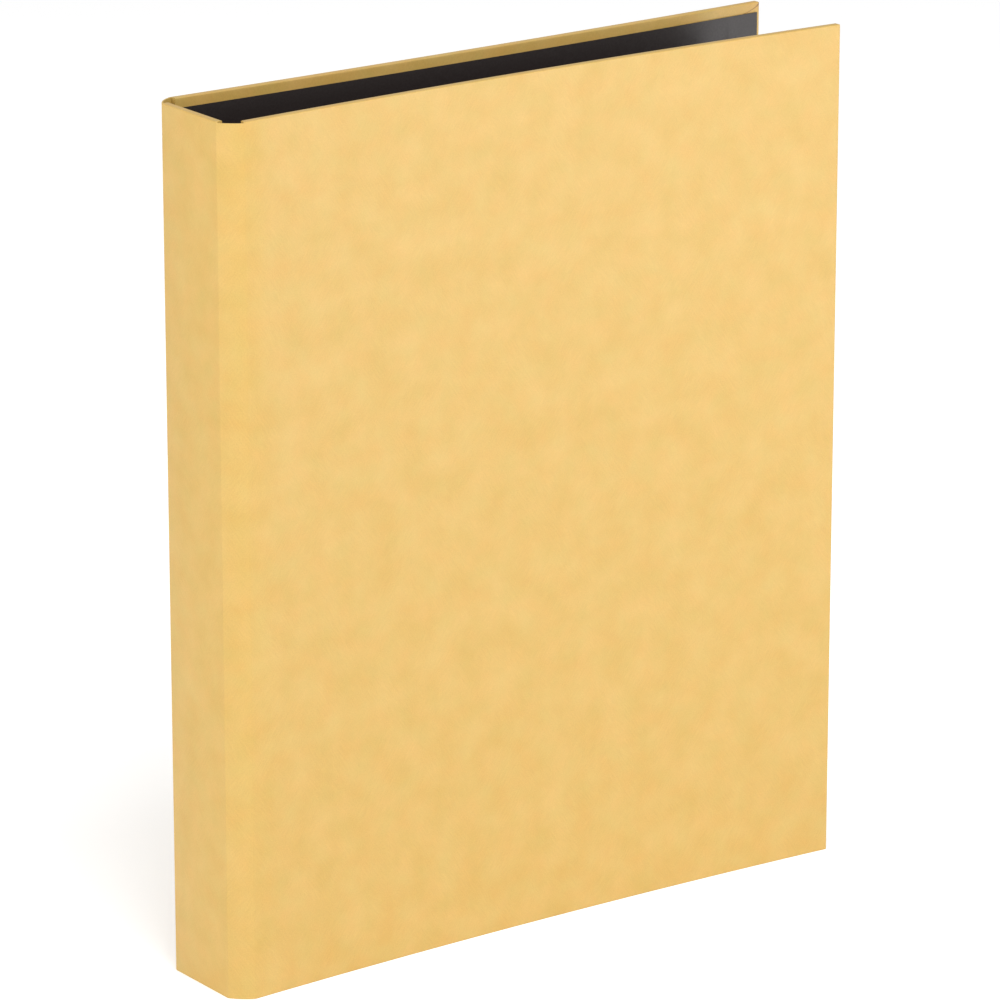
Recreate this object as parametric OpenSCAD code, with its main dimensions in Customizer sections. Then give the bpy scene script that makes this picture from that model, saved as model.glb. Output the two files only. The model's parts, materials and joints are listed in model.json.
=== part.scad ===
// Scrapbook album: a covered board case with flexible joints, a ring mechanism riveted inside the
// spine, and punched card leaves hung on its rings. It stands on its bottom edges, with +X from
// the spine to the fore edge, +Y from the front cover to the rear cover, and +Z up.

/* [Case] */
// Height of the covers from tail to head
cover_h = 320; // [312:1:330]
// Width from the spine's outer face to the fore edge of the covers
cover_w = 268; // [264:1:285]
// Depth of the spine from the front face to the rear face
spine_d = 46.5; // [45:0.5:60]
// Thickness of the greyboards
board_t = 2.2; // [2:0.1:2.6]
// Thickness of the covering paper and of the lining paper
paper_t = 0.3; // [0.25:0.05:0.35]
// Width of covering paper turned in over the board edges
turn_in = 15; // [12:1:18]
// Margin of covering paper that shows beyond the lining at head and tail
lining_margin = 3.6; // [3:0.1:6]
// Margin of covering paper that shows beyond the lining at the fore edge
fore_margin = 1.0; // [1:0.1:3]
// Distance from the front or rear face to the edge of the spine board
spine_start = 6.5; // [6:0.1:7]
// Distance from the spine's outer face to the edge of a cover board
board_start = 8.0; // [7.5:0.1:9]
// How far a flexible joint bulges out from the straight line between the two boards
joint_bulge = 0.6; // [0.5:0.1:1]

/* [Stance] */
// Inward bow of the front cover at the middle of its width
front_bow = 3.5; // [1:0.1:4]
// Inward bow of the rear cover at the middle of its width
rear_bow = 1.8; // [1:0.1:3]
// Angle in degrees that the rear cover springs outwards
rear_splay = 0.85; // [0.1:0.05:2]

/* [Ring mechanism] */
// Number of rings
ring_count = 4; // [2:2:4]
// Distance between neighbouring rings
ring_pitch = 80; // [78:1:80]
// Radius of a closed ring at the middle of its wire
ring_r = 14; // [13.5:0.5:14]
// Diameter of the ring wire
wire_d = 2.8; // [2.6:0.1:2.8]
// Length of the housing
housing_l = 280; // [276:1:284]
// Width of the housing
housing_w = 24; // [24:1:24]
// Height of the arched housing above the spine lining
housing_rise = 7; // [7:0.1:7.2]
// Thickness of the housing sheet
sheet_t = 0.8; // [0.7:0.1:0.8]
// Thickness of the two blades that carry the half rings
blade_t = 1; // [0.8:0.1:1]
// Distance of the two rivets from the middle of the housing
rivet_offset = 92; // [86:1:96]

/* [Leaves] */
// Height of a leaf
leaf_h = 297; // [290:1:300]
// Width of a leaf from its bound edge to its fore edge
leaf_w = 230; // [215:1:230]
// Thickness of a leaf
leaf_t = 0.5; // [0.3:0.05:0.5]
// Distance between the middles of neighbouring leaves
leaf_pitch = 0.8; // [0.75:0.05:0.85]
// Distance from the bound edge to the middle of the punched holes
hole_margin = 12; // [11:0.5:12]
// Diameter of the punched holes
hole_d = 6.5; // [6.3:0.1:6.5]

/* [Hidden] */
$fn = 96;
arc_fn = 2880;
strip_fn = 360;
half_leaves = 3;

skin_t = board_t + paper_t;
rim_t = skin_t + paper_t;
wall_t = rim_t + paper_t;
spine_mid = spine_d / 2;
mid_z = cover_h / 2;

// Each joint strip is a shallow arc from the spine board's edge to the cover board's edge.
strip_chord = sqrt(pow(spine_start, 2) + pow(board_start, 2));
strip_r = (pow(strip_chord / 2, 2) + pow(joint_bulge, 2)) / (2 * joint_bulge);
strip_inset = (strip_r - joint_bulge) / strip_chord;
strip_l = 2 * asin(strip_chord / 2 / strip_r) * PI / 180 * strip_r;

// The covers hinge about the point that lets the opened case lie flat with its strips stretched.
hinge_in = (board_start + spine_start - strip_l) / 2;
case_d = spine_d - hinge_in + (cover_w - hinge_in) * sin(rear_splay) + hinge_in * cos(rear_splay);

// Running gap between a joint strip and the cover that it meets
strip_gap = 0.2;
// Width of the step where the lining climbs over the turned-in paper
lining_step = 0.4;
cut = 1;

// The housing is a circular arch that stands on the spine lining.
housing_x = rim_t;
arch_r = (pow(housing_w / 2, 2) + pow(housing_rise, 2)) / (2 * housing_rise);
arch_x = housing_x + housing_rise - arch_r;
crown_x = housing_x + housing_rise;

// The blades lie under the arch and turn just beyond their outer edges.
blade_rise = 2.2;
pivot_y = 8.8;
blade_gap = 0.15;
// Keeps the outer edges of the turned blades off the flanks of the arch
edge_gap = 0.2;
blade_l = housing_l - 8;
blade_x = housing_x + blade_rise;
leg_y = 7.4;
tenon_d = 1.8;
tenon_bite = 0.5;
ring_x = blade_x + 17;
// The leg of a half ring bends outwards until it meets the ring's own circle.
bend_r = 3;
bend_turn = acos((leg_y + bend_r) / (ring_r + bend_r));
leg_end_x = ring_x - (ring_r + bend_r) * sin(bend_turn);
tip_gap = 0.1;
tip_angle = asin(tip_gap / 2 / ring_r);
// Slots in the flanks of the arch for the legs of the half rings
slot_l = wire_d + 0.8;
slot_w = 5;
slot_y = leg_y + 0.7;
slot_x = blade_x + 0.6;

// Each rivet passes between the blades and is set in the spine board.
shank_d = 4;
shank_gap = 0.05;
head_d = 8;
head_t = 1.2;
pad_d = 9.4;
pad_t = 1.2;
eye_d = shank_d + 2;
tail_d = 7;
tail_t = 0.6;

// The levers turn on trunnions in the ends of the arch.
lever_t = 1.2;
lever_inset = 1.5;
lever_rise = 4.2;
lever_x = housing_x + lever_rise;
lever_reach = 10;
neck_x = -0.8;
tab_z = lever_inset + 0.3;
tab_w = 12;
neck_w = 6;
hook_x = 0.2 - lever_rise;
hook_l = 4.2;
toe_w = 3;
toe_t = 1;
toe_z = -3.2;
toe_l = 3;
trunnion_d = 1.6;
trunnion_gap = 0.05;

// A leaf hangs a little outside the ring circle, so that the opened rings still clear its holes.
hole_offset = 1.3;
leaf_x = ring_x + ring_r + hole_offset - hole_margin;

// Puts case coordinates, measured from the spine's outer face and the front face, in the middle.
module place() {
    translate([-cover_w / 2, -case_d / 2, 0]) children();
}

// Mirrors front pieces to the rear of the case.
module to_rear() {
    translate([0, spine_d, 0]) mirror([0, 1, 0]) children();
}

// Turns the rear cover outwards about its hinge.
module splayed() {
    translate([hinge_in, spine_d - hinge_in, 0])
        rotate([0, 0, rear_splay])
        translate([-hinge_in, hinge_in - spine_d, 0]) children();
}

// ---------------------------------------------------------------- covers

// Radius of the bowed outer face of a cover, from the sag of an arc over its chord
function bow_radius(bow) = (pow(cover_w - board_start, 2) / 4 + bow * bow) / (2 * bow);

// A layer of a bowed cover, from depth a to depth b, inset from the fore edge, tail and head
module bowed_layer(bow, a, b, inset_x, inset_z) {
    r = bow_radius(bow);
    length = cover_w - board_start - inset_x;
    translate([0, 0, inset_z])
        linear_extrude(cover_h - 2 * inset_z)
        intersection() {
            translate([(cover_w + board_start) / 2, bow - r]) difference() {
                circle(r = r + b, $fn = arc_fn);
                circle(r = r + a, $fn = arc_fn);
            }
            translate([board_start, -cut]) square([length, bow + b + 2 * cut]);
        }
}

module cover_board(bow) {
    bowed_layer(bow, paper_t, skin_t, paper_t, paper_t);
}

// Covering paper: the outer skin, the three covered edges and the turned-in borders
module cover_wrap(bow) {
    difference() {
        bowed_layer(bow, 0, rim_t, 0, 0);
        cover_board(bow);
        bowed_layer(bow, skin_t - paper_t / 2, rim_t + cut, turn_in, turn_in);
    }
}

// Lining paper: pasted to the board inside the turned-in borders and over their inner part
module cover_lining(bow) {
    difference() {
        union() {
            bowed_layer(bow, rim_t, wall_t, fore_margin, lining_margin);
            bowed_layer(bow, skin_t, wall_t, turn_in, turn_in);
        }
        bowed_layer(bow, rim_t, wall_t + cut, turn_in + lining_step, turn_in + lining_step);
    }
}

module front_board() color("tan") place() cover_board(front_bow);
module front_wrap() color("#f0cb83") place() cover_wrap(front_bow);
module front_lining() color("#272020") place() cover_lining(front_bow);
module rear_board() color("tan") place() splayed() to_rear() cover_board(rear_bow);
module rear_wrap() color("#f0cb83") place() splayed() to_rear() cover_wrap(rear_bow);
module rear_lining() color("#272020") place() splayed() to_rear() cover_lining(rear_bow);

// ---------------------------------------------------------------- spine

// A flat layer of the spine, from depth a to depth b, inset at tail and head
module spine_layer(a, b, inset_z) {
    translate([a, spine_start, inset_z])
        cube([b - a, spine_d - 2 * spine_start, cover_h - 2 * inset_z]);
}

// Cylinders on the axes of the two rivets, from depth a to depth b
module rivet_bars(diameter, a, b) {
    for (side = [-1, 1])
        translate([a, spine_mid, mid_z + side * rivet_offset])
            rotate([0, 90, 0]) cylinder(d = diameter, h = b - a);
}

module spine_board() color("tan") place() difference() {
    spine_layer(paper_t, skin_t, paper_t);
    rivet_bars(shank_d + 2 * shank_gap, 0, rim_t);
    rivet_bars(tail_d + 2 * shank_gap, 0, paper_t + tail_t);
}

module spine_wrap() color("#e5bf77") place() difference() {
    spine_layer(0, rim_t, 0);
    spine_layer(paper_t, skin_t, paper_t);
    spine_layer(skin_t - paper_t / 2, rim_t + cut, turn_in);
}

module spine_lining() color("#272020") place() difference() {
    union() {
        spine_layer(rim_t, wall_t, lining_margin);
        spine_layer(skin_t, wall_t, turn_in);
    }
    spine_layer(rim_t, wall_t + cut, turn_in + lining_step);
    rivet_bars(shank_d + 2 * shank_gap, 0, wall_t + cut);
}

// A strip that bridges the front corner of the case between depths a and b
module joint_strip(a, b, inset_z) {
    centre = [board_start / 2 + spine_start * strip_inset, spine_start / 2 + board_start * strip_inset];
    translate([0, 0, inset_z])
        linear_extrude(cover_h - 2 * inset_z)
        intersection() {
            translate(centre) difference() {
                circle(r = strip_r - a, $fn = strip_fn);
                circle(r = strip_r - b, $fn = strip_fn);
            }
            square([board_start - strip_gap, spine_start]);
        }
}

module front_strip() joint_strip(0, 2 * paper_t, 0);
module front_strip_lining() joint_strip(2 * paper_t, 3 * paper_t, lining_margin);

module front_joint() color("#e9c376") place() front_strip();
module front_joint_lining() color("#272020") place() front_strip_lining();
module rear_joint() color("#e9c376") place() to_rear() front_strip();
module rear_joint_lining() color("#272020") place() to_rear() front_strip_lining();

// ---------------------------------------------------------------- ring mechanism

// Height of one ring on the spine
function ring_z(i) = mid_z + (i - (ring_count - 1) / 2) * ring_pitch;

// Puts a cross-section drawn across the spine, with x upwards from it, along the spine's length
module along_spine(length) {
    translate([0, spine_mid, mid_z - length / 2]) linear_extrude(length) children();
}

module arch_section() {
    intersection() {
        translate([arch_x, 0]) difference() {
            circle(r = arch_r);
            circle(r = arch_r - sheet_t);
        }
        translate([housing_x, -housing_w / 2]) square([housing_rise, housing_w]);
    }
}

module ring_housing() color("silver") place() difference() {
    union() {
        along_spine(housing_l) arch_section();
        rivet_bars(pad_d, crown_x - pad_t, crown_x);
    }
    rivet_bars(shank_d + 2 * shank_gap, housing_x, crown_x + cut);
    for (i = [0:ring_count - 1], side = [-1, 1])
        translate([slot_x, spine_mid + side * slot_y - slot_w / 2, ring_z(i) - slot_l / 2])
            cube([housing_rise, slot_w, slot_l]);
    for (end = [-1, 1])
        translate([lever_x, spine_mid, mid_z + end * (housing_l / 2 - lever_inset)])
            rotate([90, 0, 0])
            cylinder(d = trunnion_d + 2 * trunnion_gap, h = housing_w, center = true);
}

module housing_rivets() color("silver") place() {
    rivet_bars(shank_d, paper_t, crown_x + head_t / 2);
    rivet_bars(tail_d, paper_t, paper_t + tail_t);
    for (side = [-1, 1])
        translate([crown_x, spine_mid, mid_z + side * rivet_offset])
            rotate([0, 90, 0]) rotate_extrude() rivet_head_section();
}

// Half of a domed rivet head, turned about its axis
module rivet_head_section() {
    dome_r = (pow(head_d / 2, 2) + pow(head_t, 2)) / (2 * head_t);
    intersection() {
        translate([0, head_t - dome_r]) circle(r = dome_r);
        square([head_d / 2, head_t]);
    }
}

// The rear blade, on the +Y side of the middle of the spine
module blade() {
    difference() {
        translate([blade_x - blade_t / 2, blade_gap, mid_z - blade_l / 2])
            cube([blade_t, pivot_y - edge_gap - blade_gap, blade_l]);
        for (side = [-1, 1])
            translate([blade_x - blade_t, 0, mid_z + side * rivet_offset])
                rotate([0, 90, 0]) cylinder(d = eye_d, h = 2 * blade_t);
        for (i = [0:ring_count - 1])
            translate([blade_x - blade_t, leg_y, ring_z(i)])
                rotate([0, 90, 0]) cylinder(d = tenon_d, h = 2 * blade_t);
    }
}

// The rear half of one ring: a tenon and a leg on the blade, a bend, then the arc to the tip
module half_ring() {
    translate([blade_x - blade_t / 2, leg_y, 0])
        rotate([0, 90, 0]) cylinder(d = tenon_d, h = blade_t + tenon_bite);
    translate([blade_x + blade_t / 2, leg_y, 0])
        rotate([0, 90, 0]) cylinder(d = wire_d, h = leg_end_x - blade_x - blade_t / 2);
    translate([leg_end_x, leg_y + bend_r, 0]) rotate([0, 0, -90]) wire_arc(bend_r, bend_turn);
    translate([ring_x, 0, 0]) rotate([0, 0, tip_angle]) wire_arc(ring_r, 90 + bend_turn - tip_angle);
}

// A length of ring wire bent to a radius, from +X through an angle
module wire_arc(radius, angle) {
    rotate_extrude(angle = angle) translate([radius, 0]) circle(d = wire_d);
}

module half_rings() {
    for (i = [0:ring_count - 1]) translate([0, 0, ring_z(i)]) half_ring();
}

module rear_side() translate([0, spine_mid, 0]) children();
module front_side() rear_side() mirror([0, 1, 0]) children();

module front_blade() color("gainsboro") place() front_side() blade();
module rear_blade() color("gainsboro") place() rear_side() blade();
module front_half_rings() color("silver") place() front_side() half_rings();
module rear_half_rings() color("silver") place() rear_side() half_rings();

// The head lever, drawn about its trunnion: a tab to press, a neck and a toe under the blades
module lever() {
    // the tab, with its outer end rounded
    intersection() {
        translate([neck_x, -tab_w / 2, tab_z]) cube([lever_reach - neck_x, tab_w, lever_t]);
        translate([lever_reach - tab_w / 2, 0, tab_z]) union() {
            cylinder(d = tab_w, h = lever_t);
            translate([-tab_w, -tab_w / 2, 0]) cube([tab_w, tab_w, lever_t]);
        }
    }
    // the neck, from the tab to the trunnion
    translate([neck_x, -neck_w / 2, -lever_inset]) cube([lever_t, neck_w, tab_z + lever_inset + lever_t / 2]);
    // the hook that reaches down past the ends of the blades, and its toe
    translate([hook_x, -toe_w / 2, -lever_inset]) cube([hook_l, toe_w, lever_t]);
    translate([hook_x, -toe_w / 2, toe_z]) cube([toe_t, toe_w, toe_l]);
    rotate([90, 0, 0]) cylinder(d = trunnion_d, h = 2 * trunnion_half, center = true);
}

// Half the length of the trunnions, which end inside the wall of the arch
trunnion_half = sqrt(pow(arch_r, 2) - pow(lever_x - arch_x + trunnion_d / 2, 2)) - 0.1;

module head_lever() color("silver") place()
    translate([lever_x, spine_mid, mid_z + housing_l / 2 - lever_inset]) lever();
module tail_lever() color("silver") place()
    translate([lever_x, spine_mid, mid_z - housing_l / 2 + lever_inset])
    mirror([0, 0, 1]) lever();

// ---------------------------------------------------------------- leaves

// One leaf, counted from the front, with a punched hole for each ring
module leaf(number) {
    y = spine_mid + (number - half_leaves - 0.5) * leaf_pitch;
    color("#2e2a2a") place() difference() {
        translate([leaf_x, y - leaf_t / 2, mid_z - leaf_h / 2]) cube([leaf_w, leaf_t, leaf_h]);
        for (i = [0:ring_count - 1])
            translate([leaf_x + hole_margin, y, ring_z(i)])
                rotate([90, 0, 0]) cylinder(d = hole_d, h = 2 * leaf_t, center = true);
    }
}

spine_board();
spine_wrap();
spine_lining();
front_joint();
front_joint_lining();
rear_joint();
rear_joint_lining();
front_board();
front_wrap();
front_lining();
rear_board();
rear_wrap();
rear_lining();
ring_housing();
housing_rivets();
front_blade();
rear_blade();
front_half_rings();
rear_half_rings();
head_lever();
tail_lever();
leaf(1);  // leaf_1
leaf(2);  // leaf_2
leaf(3);  // leaf_3
leaf(4);  // leaf_4
leaf(5);  // leaf_5
leaf(6);  // leaf_6
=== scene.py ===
"""Looks of a scrapbook album: a paper-covered board case, its ring mechanism and its card leaves.

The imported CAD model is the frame. Every new piece is built in its place around that frame, in
metres, with +X from the spine to the fore edge, +Y from the front cover to the rear cover and +Z up.
A depth is measured inwards from the outer face of a cover or of the spine.
"""

import json
import logging
import math
from collections.abc import Callable, Iterator
from contextlib import contextmanager
from dataclasses import dataclass, field
from enum import Enum
from typing import Any

import bmesh
import bpy
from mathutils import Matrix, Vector

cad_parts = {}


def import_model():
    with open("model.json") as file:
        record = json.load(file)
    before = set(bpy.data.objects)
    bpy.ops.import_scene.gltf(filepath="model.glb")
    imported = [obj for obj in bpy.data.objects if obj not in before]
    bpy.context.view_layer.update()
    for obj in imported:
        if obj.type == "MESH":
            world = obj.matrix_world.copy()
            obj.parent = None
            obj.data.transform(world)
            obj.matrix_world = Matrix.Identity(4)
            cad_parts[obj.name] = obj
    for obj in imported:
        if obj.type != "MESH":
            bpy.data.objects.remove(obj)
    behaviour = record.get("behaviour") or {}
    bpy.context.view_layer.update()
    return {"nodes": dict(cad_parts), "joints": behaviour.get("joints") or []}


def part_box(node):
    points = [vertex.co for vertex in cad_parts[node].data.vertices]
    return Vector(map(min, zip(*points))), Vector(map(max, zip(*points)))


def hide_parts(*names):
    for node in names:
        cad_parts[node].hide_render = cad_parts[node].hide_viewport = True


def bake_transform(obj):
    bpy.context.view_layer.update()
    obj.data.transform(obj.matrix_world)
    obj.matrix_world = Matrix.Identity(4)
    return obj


LOG = logging.getLogger("album")
MM = 0.001
NEAR = 0.01 * MM
ANYWHERE = (-math.inf, math.inf)
SHEET_PLACE = "sheet_place"


# ---------------------------------------------------------------- modelling bench


class Element(Enum):
    """What a selection in edit mode is made of."""

    VERTEX = "VERT"
    EDGE = "EDGE"
    FACE = "FACE"


@dataclass(frozen=True)
class Region:
    """A box that picks elements by their place; each span is (lowest, highest)."""

    x: tuple[float, float] = ANYWHERE
    y: tuple[float, float] = ANYWHERE
    z: tuple[float, float] = ANYWHERE

    def holds(self, point: Vector) -> bool:
        """Says whether a point lies in the region, within a hundredth of a millimetre."""
        spans = (self.x, self.y, self.z)
        return all(low - NEAR <= at <= high + NEAR for at, (low, high) in zip(point, spans))


EVERYWHERE = Region()


def only(place: float) -> tuple[float, float]:
    """Gives the span of a region that is a plane."""
    return (place, place)


def corners(item: bmesh.types.BMVert | bmesh.types.BMEdge | bmesh.types.BMFace) -> list[Vector]:
    """Gives the corner points of a mesh element."""
    return [item.co] if isinstance(item, bmesh.types.BMVert) else [vert.co for vert in item.verts]


@dataclass
class Bench:
    """One piece being modelled, the only object selected while it is worked on."""

    piece: bpy.types.Object

    @classmethod
    def block(cls, name: str, low: Vector, high: Vector) -> "Bench":
        """Starts a piece from a box.

        Args:
            name: the name of the finished piece.
            low: the lowest corner of the box.
            high: the highest corner of the box.

        Returns:
            The bench with the new piece on it.
        """
        clear_selection()
        bpy.ops.mesh.primitive_cube_add(size=1, location=(low + high) / 2, scale=high - low)
        return cls.taken(name)

    @classmethod
    def plate(cls, name: str, low: Vector, high: Vector, upright: bool) -> "Bench":
        """Starts a piece from a flat rectangle.

        Args:
            name: the name of the finished piece.
            low: the lowest corner of the rectangle.
            high: the highest corner of the rectangle.
            upright: True for a rectangle across Y, False for one that lies across Z.

        Returns:
            The bench with the new piece on it.
        """
        clear_selection()
        size = high - low
        tilt = math.pi / 2 if upright else 0
        bpy.ops.mesh.primitive_plane_add(size=1, location=(low + high) / 2, rotation=(tilt, 0, 0))
        bpy.context.object.scale = (size.x, size.z if upright else size.y, 1)
        return cls.taken(name)

    @classmethod
    def taken(cls, name: str) -> "Bench":
        """Names the new primitive and puts its place and size in its mesh.

        Args:
            name: the name of the finished piece.

        Returns:
            The bench with the new piece on it.
        """
        bpy.ops.object.transform_apply(location=True, rotation=True, scale=True)
        piece = bpy.context.object
        piece.name = name
        piece.data.name = name
        return cls(piece)

    @contextmanager
    def picked(
        self,
        element: Element,
        region: Region = EVERYWHERE,
        also: Callable[[Any], bool] = lambda item: True,
    ) -> Iterator[int]:
        """Opens edit mode with only the wanted elements selected, and closes it afterwards.

        Args:
            element: whether vertices, edges or faces are picked.
            region: every corner of a picked element lies in it.
            also: a further test on the element.

        Yields:
            How many elements are selected.
        """
        bpy.ops.object.mode_set(mode="EDIT")
        bpy.ops.mesh.select_mode(type=element.value)
        bpy.ops.mesh.select_all(action="DESELECT")
        shape = bmesh.from_edit_mesh(self.piece.data)
        groups = {Element.VERTEX: shape.verts, Element.EDGE: shape.edges, Element.FACE: shape.faces}
        wanted = [
            item for item in groups[element] if all(map(region.holds, corners(item))) and also(item)
        ]
        for item in wanted:
            item.select_set(True)
        shape.select_flush_mode()
        bmesh.update_edit_mesh(self.piece.data)
        yield len(wanted)
        bpy.ops.object.mode_set(mode="OBJECT")

    def cut_across(self, axis: int, places: list[float]) -> None:
        """Cuts an edge line right round the piece at each place along an axis.

        Args:
            axis: 0, 1 or 2 for X, Y or Z.
            places: where the cuts go.
        """
        for place in places:
            point, normal = Vector((0, 0, 0)), Vector((0, 0, 0))
            point[axis], normal[axis] = place, 1
            with self.picked(Element.FACE):
                bpy.ops.mesh.bisect(plane_co=point, plane_no=normal)

    def shift(self, region: Region, offset: Vector) -> None:
        """Moves the vertices of a region by an offset."""
        with self.picked(Element.VERTEX, region):
            bpy.ops.transform.translate(value=offset)

    def squeeze(self, region: Region, factors: Vector, centre: Vector) -> None:
        """Scales the vertices of a region about a centre."""
        with self.picked(Element.VERTEX, region):
            bpy.ops.transform.resize(value=factors, center_override=centre)

    def draw_out(self, region: Region, offset: Vector) -> None:
        """Extrudes the open edges that lie in a region by an offset."""
        with self.picked(Element.EDGE, region, lambda edge: edge.is_boundary):
            bpy.ops.mesh.extrude_region_move(TRANSFORM_OT_translate={"value": offset})

    def spin_out(self, region: Region, centre: Vector, angle: float, steps: int) -> None:
        """Extrudes the open edges of a region round an upright axis.

        Args:
            region: where the open edges lie.
            centre: a point on the axis.
            angle: how far they turn, in radians.
            steps: how many steps they take.
        """
        with self.picked(Element.EDGE, region, lambda edge: edge.is_boundary):
            bpy.ops.mesh.spin(steps=steps, angle=angle, center=centre, axis=(0, 0, 1))

    def turn(self, region: Region, centre: Vector, angle: float) -> None:
        """Turns the vertices of a region about an upright line.

        Args:
            region: where the vertices lie.
            centre: a point on the line.
            angle: how far they turn anticlockwise seen from above, in radians.
        """
        with self.picked(Element.VERTEX, region):
            bpy.ops.transform.rotate(value=-angle, orient_axis="Z", center_override=centre)

    def face_outwards(self) -> None:
        """Merges doubles and turns every face the right way."""
        with self.picked(Element.FACE):
            bpy.ops.mesh.remove_doubles(threshold=NEAR)
            bpy.ops.mesh.normals_make_consistent(inside=False)

    def apply(self, kind: str, **settings: Any) -> None:
        """Adds a modifier with its settings and applies it.

        Args:
            kind: the modifier's type, such as "SOLIDIFY".
            settings: its attributes.
        """
        modifier = self.piece.modifiers.new(kind.title(), kind)
        for name, value in settings.items():
            setattr(modifier, name, value)
        bpy.ops.object.modifier_apply(modifier=modifier.name)

    def bow(self, start: float, end: float, amount: float) -> None:
        """Bows the piece along Y between two places along X, most in the middle.

        Args:
            start: the place along X where the bow begins.
            end: the place along X where it ends.
            amount: how far the middle moves along Y.
        """
        group = self.piece.vertex_groups.new(name="bow")
        for vertex in self.piece.data.vertices:
            share = (vertex.co.x - start) / (end - start)
            group.add([vertex.index], max(0.0, 4 * share * (1 - share)), "REPLACE")
        self.apply("DISPLACE", direction="Y", mid_level=0, strength=amount, vertex_group="bow")
        self.piece.vertex_groups.clear()

    def mark_sheet(self, unfolded: Callable[[Vector], Vector]) -> None:
        """Keeps each vertex's place on the flat sheet, for a pattern that follows the sheet.

        Args:
            unfolded: gives the place on the flat sheet of a point of the piece.
        """
        places = self.piece.data.attributes.new(SHEET_PLACE, "FLOAT_VECTOR", "POINT")
        for vertex, place in zip(self.piece.data.vertices, places.data):
            place.vector = unfolded(vertex.co)

    def smooth(self, degrees: float) -> None:
        """Shades the piece smooth across edges that turn less than an angle."""
        bpy.ops.object.shade_smooth_by_angle(angle=math.radians(degrees))


def clear_selection() -> None:
    """Deselects every object, so that an operator acts on the new one alone."""
    bpy.ops.object.select_all(action="DESELECT")


# ---------------------------------------------------------------- materials


def linear(colour: str) -> tuple[float, float, float, float]:
    """Turns an sRGB hex colour to the linear colour of a shader socket.

    Args:
        colour: the colour, such as "#e6c27b".

    Returns:
        Linear red, green and blue, with an alpha of 1.
    """
    parts = [int(colour[i : i + 2], 16) / 255 for i in (1, 3, 5)]
    red, green, blue = (p / 12.92 if p <= 0.04045 else ((p + 0.055) / 1.055) ** 2.4 for p in parts)
    return (red, green, blue, 1.0)


@dataclass
class Finish:
    """A new material with its surface shader, ready to be given its patterns."""

    name: str
    material: bpy.types.Material = field(init=False)
    tree: bpy.types.NodeTree = field(init=False)
    surface: bpy.types.Node = field(init=False)

    def __post_init__(self) -> None:
        """Makes the empty material."""
        self.material = bpy.data.materials.new(self.name)
        self.material.use_nodes = True
        self.tree = self.material.node_tree
        self.surface = self.tree.nodes["Principled BSDF"]

    def feed(self, node: bpy.types.Node, inputs: dict[str | int, Any]) -> None:
        """Sets or links the sockets of a node.

        Args:
            node: the node.
            inputs: for each socket, by name or number, a value or the output that feeds it.
        """
        for socket, value in inputs.items():
            if isinstance(value, bpy.types.NodeSocket):
                self.tree.links.new(value, node.inputs[socket])
            else:
                node.inputs[socket].default_value = value

    def add(
        self, kind: str, inputs: dict[str | int, Any], result: str | int = 0, **settings: Any
    ) -> bpy.types.NodeSocket:
        """Adds a node with its settings, values and links.

        Args:
            kind: the type of the node.
            inputs: for each socket, by name or number, a value or the output that feeds it.
            result: which output is wanted.
            settings: the node's attributes.

        Returns:
            The wanted output.
        """
        node = self.tree.nodes.new(kind)
        for name, value in settings.items():
            setattr(node, name, value)
        self.feed(node, inputs)
        return node.outputs[result]


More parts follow.
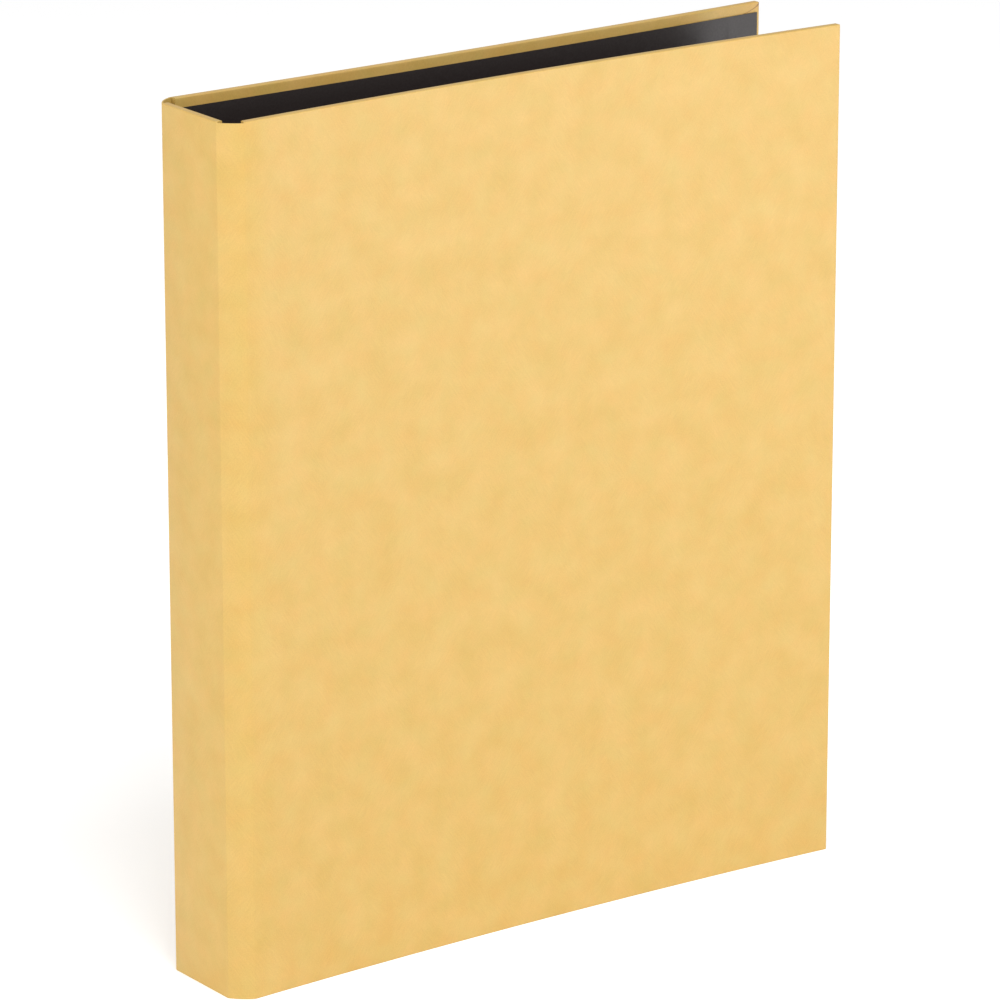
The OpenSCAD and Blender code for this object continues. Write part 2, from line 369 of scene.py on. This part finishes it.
@dataclass(frozen=True)
class CoverPaper:
    """Varnished covering paper: printed in faint straw-yellow clouds that drift from rosy to greenish,
    and embossed with a fine grain and patches of short slanting fibres, so that it looks warm, lively
    and softly glossy. The grain and fibres are also painted into the colour, lighter and darker, as
    painted light and shade of the embossing. A brown line of painted shade crosses each turned-in corner
    along its fold."""

    fold_corner: Vector
    middle: float
    border_depth: float
    pale: str = "#c2a15e"
    golden: str = "#b79246"
    rosy: str = "#c2994f"
    greenish: str = "#b79c50"
    cloud: float = 13 * MM
    patch: float = 25 * MM
    drift: float = 9 * MM
    grain: float = 0.5 * MM
    fibre_width: float = 0.6 * MM
    fibre_length: float = 5 * MM
    slant: float = math.radians(35)
    # painted shade along the corner folds: its colour, width and curve
    crease_shade_colour: str = "#7d5420"
    crease_shade_width: float = 0.35 * MM
    crease_shade_curve: float = 1.8 * MM
    print_spread: tuple[float, float] = (0.3, 0.7)
    patch_spread: tuple[float, float] = (0.42, 0.58)
    # brightness range of the painted light and shade of the embossed grain and fibres
    relief_shade_range: tuple[float, float] = (0.93, 1.07)
    tint_share: float = 0.5
    fibre_share: float = 0.4
    roughness: float = 0.42
    gloss: float = 0.5
    relief: float = 0.04 * MM

    def fold_shade_lines(self, finish: Finish, sheet: bpy.types.NodeSocket) -> bpy.types.NodeSocket:
        """Marks where shade is painted along the curved fold lines that run inwards from the corners of
        the covers.

        Args:
            finish: the finish being made.
            sheet: the place on the flat sheet.

        Returns:
            1 on a fold line, where shade is painted, and 0 away from it.
        """
        centred = finish.add(
            "ShaderNodeVectorMath", {0: sheet, 1: (0, 0, self.middle)}, operation="SUBTRACT"
        )
        quarter = finish.add("ShaderNodeVectorMath", {0: centred}, operation="ABSOLUTE")
        inwards = finish.add(
            "ShaderNodeVectorMath", {0: self.fold_corner, 1: quarter}, operation="SUBTRACT"
        )
        across, depth, down = (
            finish.add("ShaderNodeSeparateXYZ", {0: inwards}, axis) for axis in "XYZ"
        )
        squared = finish.add("ShaderNodeMath", {0: down, 1: down}, operation="MULTIPLY")
        curve = finish.add(
            "ShaderNodeMath", {0: squared, 1: 1 / self.crease_shade_curve}, operation="MULTIPLY"
        )
        near = finish.add(
            "ShaderNodeMath", {0: curve, 1: across, 2: self.crease_shade_width}, operation="COMPARE"
        )
        inside = finish.add(
            "ShaderNodeMath", {0: depth, 1: -self.border_depth}, operation="LESS_THAN"
        )
        return finish.add("ShaderNodeMath", {0: near, 1: inside}, operation="MULTIPLY")

    def make(self) -> bpy.types.Material:
        """Builds the material.

        Returns:
            The covering paper's material.
        """
        finish = Finish("embossed_covering_paper")
        sheet = finish.add("ShaderNodeAttribute", {}, "Vector", attribute_name=SHEET_PLACE)
        clouds, patches, drift, grain = (
            finish.add(
                "ShaderNodeTexNoise", {"Vector": sheet, "Scale": 1 / size, "Detail": detail}
            )
            for size, detail in (
                (self.cloud, 6), (self.patch, 1), (self.drift, 3), (self.grain, 2)
            )
        )
        fibre_size = (self.fibre_width, self.fibre_width, self.fibre_length)
        rising, falling = (
            finish.add(
                "ShaderNodeTexNoise",
                {
                    "Vector": finish.add(
                        "ShaderNodeMapping",
                        {"Vector": sheet, "Rotation": (0, slant, 0), "Scale": fibre_size},
                        vector_type="TEXTURE",
                    ),
                    "Scale": 1,
                    "Detail": 2,
                },
            )
            for slant in (self.slant, -self.slant)
        )
        low, high = self.patch_spread
        chosen = finish.add(
            "ShaderNodeMapRange", {"Value": patches, "From Min": low, "From Max": high}
        )
        fibres = finish.add("ShaderNodeMix", {0: chosen, 2: rising, 3: falling})
        low, high = self.print_spread
        cloudy, tinted = (
            finish.add("ShaderNodeMapRange", {"Value": noise, "From Min": low, "From Max": high})
            for noise in (clouds, drift)
        )
        printed, toned = (
            finish.add(
                "ShaderNodeMix",
                {0: share, 6: linear(one), 7: linear(other)},
                2,
                data_type="RGBA",
            )
            for share, one, other in (
                (cloudy, self.golden, self.pale), (tinted, self.rosy, self.greenish)
            )
        )
        inks = {0: self.tint_share, 6: printed, 7: toned}
        ink = finish.add("ShaderNodeMix", inks, 2, data_type="RGBA")
        texture = finish.add("ShaderNodeMix", {0: self.fibre_share, 2: grain, 3: fibres})
        # Painted light and shade of the embossing: the colour is made lighter and darker by the same
        # grain and fibres that drive the bump.
        shaded_end, lit_end = self.relief_shade_range
        relief_shaded = finish.add(
            "ShaderNodeMapRange",
            {"Value": texture, "From Min": low, "From Max": high, "To Min": shaded_end, "To Max": lit_end},
        )
        paper = finish.add("ShaderNodeHueSaturation", {"Value": relief_shaded, "Color": ink})
        # Painted shade: a dark brown line along each corner fold.
        fold_shade = {0: self.fold_shade_lines(finish, sheet), 6: paper, 7: linear(self.crease_shade_colour)}
        finish.feed(
            finish.surface,
            {
                "Base Color": finish.add("ShaderNodeMix", fold_shade, 2, data_type="RGBA"),
                "Roughness": self.roughness,
                "Specular IOR Level": self.gloss,
                "Normal": finish.add(
                    "ShaderNodeBump", {"Height": texture, "Distance": self.relief}
                ),
            },
        )
        return finish.material


@dataclass(frozen=True)
class FleckedStock:
    """Paper or board whose fibres show as flecks between a dark and a pale tone.

    The lining paper is dyed black and calendered, so that it has a slight sheen. The greyboard is
    pressed from mixed waste paper, so that it is matt with coarse dark and pale fibres. The leaves'
    card is dyed black and uncoated, so that it is matt with a fine felt grain.
    """

    name: str
    dark: str
    pale: str
    fibre: float
    roughness: float
    height: float
    spread: tuple[float, float] = (0.32, 0.68)

    def make(self) -> bpy.types.Material:
        """Builds the material.

        Returns:
            The stock's material.
        """
        finish = Finish(self.name)
        place = finish.add("ShaderNodeTexCoord", {}, "Object")
        fibres = finish.add(
            "ShaderNodeTexNoise", {"Vector": place, "Scale": 1 / self.fibre, "Detail": 4}
        )
        low, high = self.spread
        share = finish.add(
            "ShaderNodeMapRange", {"Value": fibres, "From Min": low, "From Max": high}
        )
        tones = {0: share, 6: linear(self.dark), 7: linear(self.pale)}
        finish.feed(
            finish.surface,
            {
                "Base Color": finish.add("ShaderNodeMix", tones, 2, data_type="RGBA"),
                "Roughness": self.roughness,
                "Normal": finish.add(
                    "ShaderNodeBump", {"Height": fibres, "Distance": self.height}
                ),
            },
        )
        return finish.material


LINING_PAPER = FleckedStock("black_lining_paper", "#231c1b", "#2c2625", 0.8 * MM, 0.42, 0.02 * MM)
GREYBOARD = FleckedStock("greyboard", "#7d7264", "#a3988a", 1.2 * MM, 0.92, 0.04 * MM)
LEAF_CARD = FleckedStock("black_album_card", "#262220", "#35302d", 0.6 * MM, 0.85, 0.03 * MM)


class Plating(Enum):
    """The nickel-plated steel parts, by how they were polished: name, roughness, tint."""

    RINGS = ("nickel_plated_ring_wire", 0.16, "#cfc9be")
    SHEET = ("nickel_plated_sheet_steel", 0.24, "#c9c4ba")
    RIVETS = ("nickel_plated_rivets", 0.2, "#c6c1b8")


@dataclass(frozen=True)
class NickelPlate:
    """Bright nickel plate on steel: rolled or drawn, then plated, so that it mirrors softly with
    a warm grey tint and faint drawing lines."""

    plating: Plating
    line_width: float = 0.5 * MM
    line_length: float = 50 * MM
    smoother: float = 0.05
    rougher: float = 0.08
    relief: float = 0.004 * MM

    def make(self) -> bpy.types.Material:
        """Builds the material.

        Returns:
            The plated steel's material.
        """
        name, roughness, tint = self.plating.value
        finish = Finish(name)
        place = finish.add("ShaderNodeTexCoord", {}, "Object")
        drawn = finish.add(
            "ShaderNodeMapping",
            {"Vector": place, "Scale": (self.line_width, self.line_width, self.line_length)},
            vector_type="TEXTURE",
        )
        lines = finish.add("ShaderNodeTexNoise", {"Vector": drawn, "Scale": 1, "Detail": 2})
        finish.feed(
            finish.surface,
            {
                "Base Color": linear(tint),
                "Metallic": 1.0,
                "Roughness": finish.add(
                    "ShaderNodeMapRange",
                    {
                        "Value": lines,
                        "To Min": roughness - self.smoother,
                        "To Max": roughness + self.rougher,
                    },
                ),
                "Normal": finish.add("ShaderNodeBump", {"Height": lines, "Distance": self.relief}),
            },
        )
        return finish.material


def dress(piece: bpy.types.Object, material: bpy.types.Material) -> None:
    """Gives a piece or a CAD node its one material.

    Args:
        piece: the piece or the CAD node's object.
        material: the material that fills all its slots.
    """
    if not piece.material_slots:
        piece.data.materials.append(material)
    for slot in piece.material_slots:
        slot.material = material


# ---------------------------------------------------------------- case


class Side(Enum):
    """A cover, by its name and by the direction along Y that leads into the case."""

    FRONT = ("front", 1)
    REAR = ("rear", -1)


REAR_BOW = 1.8 * MM
LINING_SETBACK = 0.5 * MM


@dataclass(frozen=True)
class CaseSizes:
    """Sizes and places of the covered case, read from the frame, with the paper's own sizes."""

    spine_face: float
    fore_edge: float
    spine_start: float
    board_start: float
    faces: dict[Side, float]
    head: float
    rim: float
    wall: float
    margin: float
    fore_margin: float
    bows: dict[Side, float]
    splay: float
    hinges: dict[Side, Vector]
    paper: float = 0.3 * MM
    folded: float = 0.65 * MM
    turn_in: float = 15 * MM
    edge_r: float = 0.35 * MM
    step: float = 0.6 * MM
    window_step: float = 0.4 * MM
    joint_drops: dict[Side, float] = field(
        default_factory=lambda: {Side.FRONT: 0.5 * MM, Side.REAR: 0}
    )
    joint_bulges: dict[Side, float] = field(
        default_factory=lambda: {Side.FRONT: 0.6 * MM, Side.REAR: 1.1 * MM}
    )

    @classmethod
    def measured(cls, joints: list[dict[str, Any]]) -> "CaseSizes":
        """Reads the case's sizes from the boxes of its CAD nodes.

        Args:
            joints: the joints of the frame.

        Returns:
            The sizes.
        """
        spine_low, spine_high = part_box("spine_wrap")
        cover_low, cover_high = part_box("front_wrap")
        _, rear_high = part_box("rear_wrap")
        lining_low, lining_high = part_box("front_lining")
        _, spine_lining_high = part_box("spine_lining")
        rim = spine_high.x - spine_low.x
        start = spine_low.y - cover_low.y
        rear_face = spine_high.y + start
        places = {joint["name"]: Vector(joint["pos_m"]) for joint in joints}
        hinge = places["rear_cover_hinge"]
        reach, proud = cover_high.x - hinge.x, rear_face - hinge.y
        lean = math.asin((rear_high.y - hinge.y) / math.hypot(reach, proud))
        return cls(
            spine_face=spine_low.x,
            fore_edge=cover_high.x,
            spine_start=start,
            board_start=cover_low.x,
            faces={Side.FRONT: cover_low.y, Side.REAR: rear_face},
            head=cover_high.z,
            rim=rim,
            wall=spine_lining_high.x - spine_low.x,
            margin=lining_low.z,
            fore_margin=cover_high.x - lining_high.x + LINING_SETBACK,
            bows={Side.FRONT: cover_high.y - cover_low.y - rim, Side.REAR: REAR_BOW},
            splay=lean - math.atan2(proud, reach),
            hinges={Side.FRONT: places["front_cover_hinge"], Side.REAR: hinge},
        )

    def inwards(self, side: Side, depth: float) -> float:
        """Gives the place along Y at a depth inside a cover's face."""
        return self.faces[side] + side.value[1] * depth

    def hinge_line(self, side: Side) -> tuple[Vector, Vector]:
        """Gives the points between which the paper bends, from the spine to a cover.

        Args:
            side: which cover.

        Returns:
            A point at the spine's end of the joint, and one at the cover's end.
        """
        height = self.head / 2
        at_spine = Vector((self.spine_face + self.wall, self.inwards(side, self.spine_start), height))
        at_cover = Vector((self.board_start, self.inwards(side, self.wall), height))
        return at_spine, at_cover


@dataclass
class JointArc:
    """The shallow arc that the paper follows from a cover board to the spine board."""

    sizes: CaseSizes
    side: Side

    def __post_init__(self) -> None:
        """Works out the arc's radius, centre and angles."""
        s = self.sizes
        across, along = s.spine_start, s.board_start - s.spine_face
        chord, bulge = math.hypot(across, along), s.joint_bulges[self.side]
        self.radius = (chord**2 / 4 + bulge**2) / (2 * bulge)
        share = (self.radius - bulge) / chord
        self.centre = Vector(
            (
                s.spine_face + along / 2 + across * share,
                s.inwards(self.side, across / 2 + along * share),
                0,
            )
        )
        self.sweep = 2 * math.asin(chord / 2 / self.radius)
        self.length = self.sweep * self.radius
        # the angle between the cover's normal and the arc's radius at the cover board
        self.lead = math.asin((self.centre.x - s.board_start) / self.radius)
        self.step_angle = s.step / self.radius

    def point(self, turned: float, depth: float) -> Vector:
        """Gives a place on the joint.

        Args:
            turned: the angle from the cover board's end, in radians.
            depth: the depth inside the arc.

        Returns:
            The place, at a height of 0.
        """
        angle, reach = self.lead + turned, self.radius - depth
        outwards = -self.side.value[1]
        return self.centre + Vector((-math.sin(angle), outwards * math.cos(angle), 0)) * reach

    def unrolled(self, place: Vector) -> tuple[float, float]:
        """Finds where a place of the joint lies on the flat sheet.

        Args:
            place: a place on or in the joint.

        Returns:
            The length along the arc from the spine board, and the depth inside the arc.
        """
        across = (self.centre.y - place.y) * self.side.value[1]
        along = self.centre.x - place.x
        turned = math.atan2(along, across) - self.lead
        return self.length - turned * self.radius, self.radius - math.hypot(across, along)


@dataclass
class CaseHalf:
    """The papers of one side of the case, bent round its joint; the front half has the spine.

    The covering paper is one sheet, turned in over the edges of the boards at head, tail and fore
    edge. The lining paper covers the turned-in borders but for a margin.
    """

    sizes: CaseSizes
    side: Side
    stations: int = 24
    arc_steps: int = 10
    first_height: float = 0.9 * MM
    edge_segments: int = 4
    covering_crease: float = 40
    lining_crease: float = 30

    def __post_init__(self) -> None:
        """Works out the joint's arc."""
        self.arc = JointArc(self.sizes, self.side)

    @property
    def edge_region(self) -> Region:
        """The plane of the cover's edge at the joint, where the paper is still open."""
        return Region(x=only(self.sizes.board_start))

    def spine_end(self) -> Region:
        """The plane of the spine board's edge."""
        return Region(y=only(self.sizes.inwards(self.side, self.sizes.spine_start)))

    def cross_spine(self, bench: Bench) -> None:
        """Draws the front half's open edge over the spine to the rear joint.

        Args:
            bench: the bench with the paper.
        """
        if self.side is Side.FRONT:
            s = self.sizes
            there = s.inwards(Side.REAR, s.spine_start) - s.inwards(Side.FRONT, s.spine_start)
            bench.draw_out(self.spine_end(), Vector((0, there, 0)))

    def covering(self) -> Bench:
        """Models the covering paper.

        Returns:
            The bench with the finished piece.
        """
        s = self.sizes
        face, inner = s.inwards(self.side, 0), s.inwards(self.side, s.rim)
        low = Vector((s.board_start, min(face, inner), 0))
        high = Vector((s.fore_edge, max(face, inner), s.head))
        bench = Bench.block(f"{self.side.value[0]}_case_paper", low, high)
        self.round_edges(bench)
        self.turn_in_borders(bench, inner)
        bench.cut_across(0, self.bow_stations())
        bench.cut_across(2, [self.first_height, s.head - self.first_height])
        self.bend_covering(bench)
        bench.face_outwards()
        bench.mark_sheet(self.unfolded)
        self.set_stance(bench)
        bench.apply(
            "SOLIDIFY", thickness=s.paper, offset=-1, use_even_offset=True, use_quality_normals=True
        )
        bench.smooth(self.covering_crease)
        return bench

    def round_edges(self, bench: Bench) -> None:
        """Rounds the cover's outer edges and opens it at the joint.

        Args:
            bench: the bench with the cover.
        """
        s = self.sizes
        with bench.picked(Element.EDGE, also=lambda edge: not all(
            self.edge_region.holds(vert.co) for vert in edge.verts
        )):
            bpy.ops.mesh.bevel(offset=s.edge_r, segments=self.edge_segments, affect="EDGES")
        with bench.picked(Element.FACE, self.edge_region):
            bpy.ops.mesh.delete(type="FACE")

    def turn_in_borders(self, bench: Bench, inner: float) -> None:
        """Insets the turned-in borders and cuts out the window between them.

        Args:
            bench: the bench with the cover.
            inner: the place along Y of the cover's inner face.
        """
        s = self.sizes
        with bench.picked(Element.FACE, Region(y=only(inner))):
            bpy.ops.mesh.inset(thickness=s.turn_in - s.edge_r, use_boundary=False)
            bpy.ops.mesh.delete(type="FACE")

    def bow_stations(self) -> list[float]:
        """Spaces the cuts that let the cover bow.

        Returns:
            Places along X, the last one close to the fore edge.
        """
        s = self.sizes
        pitch = (s.fore_edge - s.board_start) / self.stations
        inner = [s.board_start + pitch * i for i in range(1, self.stations)]
        return [*inner, s.fore_edge - self.first_height]

    def bend_covering(self, bench: Bench) -> None:
        """Draws the open edge round the joint, folded flat there, and on over the spine.

        Args:
            bench: the bench with the covering paper.
        """
        s, inwards = self.sizes, self.side.value[1]
        arc, low_share = self.arc, 1 - s.joint_drops[self.side] / s.head
        last = arc.sweep - arc.step_angle
        start, outer = Vector((s.board_start, s.inwards(self.side, 0), 0)), arc.point(arc.step_angle, 0)
        bench.draw_out(self.edge_region, outer - start)
        section = Region(x=only(outer.x))
        bench.squeeze(section, Vector((1, s.folded / s.rim, low_share)), outer)
        bench.turn(section, outer, -inwards * (arc.lead + arc.step_angle))
        inner = arc.point(arc.step_angle, s.folded)
        bench.spin_out(
            Region(x=(outer.x, inner.x)), arc.centre, inwards * (last - arc.step_angle), self.arc_steps
        )
        outer, inner = arc.point(last, 0), arc.point(last, s.folded)
        section = Region(x=(outer.x, inner.x), y=(min(outer.y, inner.y), max(outer.y, inner.y)))
        end = Vector((s.spine_face, s.inwards(self.side, s.spine_start), 0))
        bench.draw_out(section, end - outer)
        reach = inner - outer
        section = Region(
            x=(end.x, end.x + reach.x), y=(min(end.y, end.y + reach.y), max(end.y, end.y + reach.y))
        )
        bench.turn(section, end, -inwards * (math.pi / 2 - arc.lead - last))
        bench.squeeze(self.spine_end(), Vector((s.rim / s.folded, 1, 1 / low_share)), end)
        self.cross_spine(bench)

    def lining(self) -> Bench:
        """Models the lining paper.

        Returns:
            The bench with the finished piece.
        """
        s, inwards = self.sizes, self.side.value[1]
        inner = s.inwards(self.side, s.wall)
        low = Vector((s.board_start, inner, s.margin))
        high = Vector((s.fore_edge - s.fore_margin, inner, s.head - s.margin))
        bench = Bench.plate(f"{self.side.value[0]}_case_lining", low, high, upright=True)
        border, foot = s.turn_in, s.turn_in + s.window_step
        bench.cut_across(2, [border, foot, s.head - border, s.head - foot])
        bench.cut_across(0, [s.fore_edge - border, s.fore_edge - foot, *self.bow_stations()[:-1]])
        window = Region(x=(s.board_start, s.fore_edge - foot), z=(foot, s.head - foot))
        bench.shift(window, Vector((0, -inwards * s.paper, 0)))
        arc, deep = self.arc, s.folded + s.paper
        last = arc.sweep - arc.step_angle
        sunk, raised = arc.point(arc.step_angle, deep), arc.point(last, deep)
        bench.draw_out(self.edge_region, sunk - Vector((s.board_start, inner, 0)))
        bench.spin_out(
            Region(x=only(sunk.x)), arc.centre, inwards * (last - arc.step_angle), self.arc_steps
        )
        end = Vector((s.spine_face + s.wall, s.inwards(self.side, s.spine_start), 0))
        bench.draw_out(Region(x=only(raised.x)), end - raised)
        self.cross_spine(bench)
        bench.face_outwards()
        self.set_stance(bench)
        bench.apply("SOLIDIFY", thickness=s.paper, offset=-1)
        bench.smooth(self.lining_crease)
        return bench

    def set_stance(self, bench: Bench) -> None:
        """Bows the cover inwards and lets the rear one spring outwards about its hinge.

        Args:
            bench: the bench with the paper.
        """
        s, inwards = self.sizes, self.side.value[1]
        bench.bow(s.board_start, s.fore_edge, inwards * s.bows[self.side])
        if self.side is Side.REAR:
            with bench.picked(Element.VERTEX, Region(x=(s.board_start, math.inf))):
                bpy.ops.transform.rotate(
                    value=-s.splay, orient_axis="Z", center_override=s.hinges[self.side]
                )

    def unfolded(self, point: Vector) -> Vector:
        """Gives the place of a point of the case on the flat sheet, before the cover is bowed.

        Args:
            point: a point in or on the case.

        Returns:
            The length along the sheet from the middle of the spine, the depth and the height.
        """
        s, inwards = self.sizes, self.side.value[1]
        half_spine = (s.faces[Side.REAR] - s.faces[Side.FRONT]) / 2 - s.spine_start
        across = (point.y - s.inwards(self.side, s.spine_start)) * inwards
        if point.x >= s.board_start - NEAR:
            length = half_spine + self.arc.length + point.x - s.board_start
            depth = s.spine_start + across
        elif across >= -NEAR:
            length, depth = half_spine - across, point.x - s.spine_face
        else:
            along, depth = self.arc.unrolled(point)
            length = half_spine + along
        return Vector((-inwards * length, depth, point.z))

    def build(self, covering: bpy.types.Material, lining: bpy.types.Material) -> None:
        """Builds and dresses both papers of this half, and hides the CAD nodes that they replace.

        Args:
            covering: the covering paper's material.
            lining: the lining paper's material.
        """
        name = self.side.value[0]
        papers = (
            (self.covering(), covering, "cover_paper", [f"{name}_wrap", f"{name}_joint"]),
            (self.lining(), lining, "lining_paper", [f"{name}_lining", f"{name}_joint_lining"]),
        )
        extras = (["spine_wrap"], ["spine_lining"]) if self.side is Side.FRONT else ([], [])
        start, end = self.sizes.hinge_line(self.side)
        for (bench, material, slot, nodes), extra in zip(papers, extras):
            dress(bench.piece, material)
            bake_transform(bench.piece)
            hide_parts(*nodes, *extra)
            LOG.info("%s: %d faces", bench.piece.name, len(bench.piece.data.polygons))


# ---------------------------------------------------------------- inside the case


@dataclass
class BoardSet:
    """The three greyboards of the case, carried over from the CAD model."""

    names: tuple[str, ...] = ("spine_board", "front_board", "rear_board")

    def build(self, nodes: dict[str, bpy.types.Object]) -> None:
        """Dresses the boards, which show only where the case paper ends.

        Args:
            nodes: the CAD nodes' objects, by name.
        """
        greyboard = GREYBOARD.make()
        for name in self.names:
            dress(nodes[name], greyboard)
            LOG.info("%s: carried over", name)


@dataclass
class RingMechanism:
    """The ring mechanism in the spine: rings, housing, blades, levers and rivets."""

    platings: tuple[tuple[str, Plating], ...] = (
        ("ring_housing", Plating.SHEET),
        ("front_blade", Plating.SHEET),
        ("rear_blade", Plating.SHEET),
        ("head_lever", Plating.SHEET),
        ("tail_lever", Plating.SHEET),
        ("front_half_rings", Plating.RINGS),
        ("rear_half_rings", Plating.RINGS),
        ("housing_rivets", Plating.RIVETS),
    )

    def build(self, nodes: dict[str, bpy.types.Object]) -> None:
        """Dresses each steel part by how it was plated.

        Args:
            nodes: the CAD nodes' objects, by name.
        """
        steels = {plating: NickelPlate(plating).make() for plating in Plating}
        for name, plating in self.platings:
            dress(nodes[name], steels[plating])
            LOG.info("%s: carried over", name)


@dataclass
class LeafBlock:
    """The punched card leaves on the rings."""

    count: int = 6

    def build(self, nodes: dict[str, bpy.types.Object]) -> None:
        """Dresses the leaves.

        Args:
            nodes: the CAD nodes' objects, by name.
        """
        card = LEAF_CARD.make()
        for number in range(1, self.count + 1):
            dress(nodes[f"leaf_{number}"], card)
            LOG.info("leaf_%d: carried over", number)


# ---------------------------------------------------------------- studio


@dataclass(frozen=True)
class SoftLight:
    """A square soft light: its place and the length of its sides in metres, its power in watts."""

    name: str
    place: tuple[float, float, float]
    size: float
    power: float


@dataclass
class Studio:
    """A pale floor, soft light and the camera."""

    camera_place: Vector = field(default_factory=lambda: Vector((-1.21897, -1.68114, 0.79448)))
    camera_yaw: float = 35.926
    camera_pitch: float = -17.075
    lens: float = 215.46
    sensor: float = 36
    floor_size: float = 40.0
    sky: float = 0.59
    target: tuple[float, float, float] = (0, 0, 0.16)
    lights: tuple[SoftLight, ...] = (
        SoftLight("key_light", (-0.3, -1.6, 2.2), 1.8, 47),
        SoftLight("side_light", (-2.6, -0.4, 1.2), 1.6, 34),
        SoftLight("gloss_light", (0.62, -0.88, 0.27), 0.5, 2.8),
    )

    def place_camera(self) -> None:
        """Sets the camera in front of the spine's corner, a little above the album."""
        yaw, pitch = math.radians(self.camera_yaw), math.radians(self.camera_pitch)
        bpy.ops.object.camera_add(
            location=self.camera_place, rotation=(math.pi / 2 + pitch, 0, -yaw)
        )
        camera = bpy.context.object
        camera.name = "camera"
        camera.data.sensor_width = self.sensor
        camera.data.lens = self.lens
        bpy.context.scene.camera = camera

    def lay_floor(self) -> None:
        """Lays the plain floor that the album stands on."""
        half = self.floor_size / 2
        bench = Bench.plate(
            "floor", Vector((-half, -half, 0)), Vector((half, half, 0)), upright=False
        )
        finish = Finish("white_floor")
        finish.feed(
            finish.surface,
            {
                "Base Color": linear("#fcfcfc"),
                "Roughness": 0.9,
                "Specular IOR Level": 0.2,
                "Emission Color": linear("#ffffff"),
                "Emission Strength": 0.2,
            },
        )
        dress(bench.piece, finish.material)

    def hang_light(self, soft: SoftLight) -> None:
        """Hangs a light that faces the middle of the album and isn't itself seen.

        Args:
            soft: the light.
        """
        place = Vector(soft.place)
        turn = (Vector(self.target) - place).to_track_quat("-Z", "Y").to_euler()
        bpy.ops.object.light_add(type="AREA", location=place, rotation=turn)
        light = bpy.context.object
        light.name = soft.name
        light.data.size = soft.size
        light.data.energy = soft.power
        light.visible_camera = False

    def fill_with_sky(self, strength: float) -> None:
        """Surrounds the set with even white light.

        Args:
            strength: how bright the surroundings are.
        """
        world = bpy.data.worlds.new("studio")
        world.use_nodes = True
        sky = world.node_tree.nodes["Background"]
        sky.inputs["Color"].default_value = (1, 1, 1, 1)
        sky.inputs["Strength"].default_value = strength
        bpy.context.scene.world = world

    def build(self) -> None:
        """Builds the whole studio."""
        self.place_camera()
        self.lay_floor()
        self.fill_with_sky(self.sky)
        for soft in self.lights:
            self.hang_light(soft)
        bpy.context.scene.view_settings.view_transform = "Standard"
        LOG.info("studio: camera, floor and %d lights", len(self.lights))


def main() -> None:
    """Builds the album's looks around the CAD frame."""
    logging.basicConfig(level=logging.INFO, format="%(name)s: %(message)s")
    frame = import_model()
    sizes = CaseSizes.measured(frame["joints"])
    Studio().build()
    middle = sizes.head / 2
    edge = CaseHalf(sizes, Side.REAR).unfolded(Vector((sizes.fore_edge, sizes.faces[Side.REAR], middle)))
    covering = CoverPaper(Vector((edge.x, 0, middle)), middle, sizes.rim / 2).make()
    lining = LINING_PAPER.make()
    for side in Side:
        CaseHalf(sizes, side).build(covering, lining)
    for assembly in (BoardSet(), RingMechanism(), LeafBlock()):
        assembly.build(frame["nodes"])


if __name__ == "__main__":
    main()
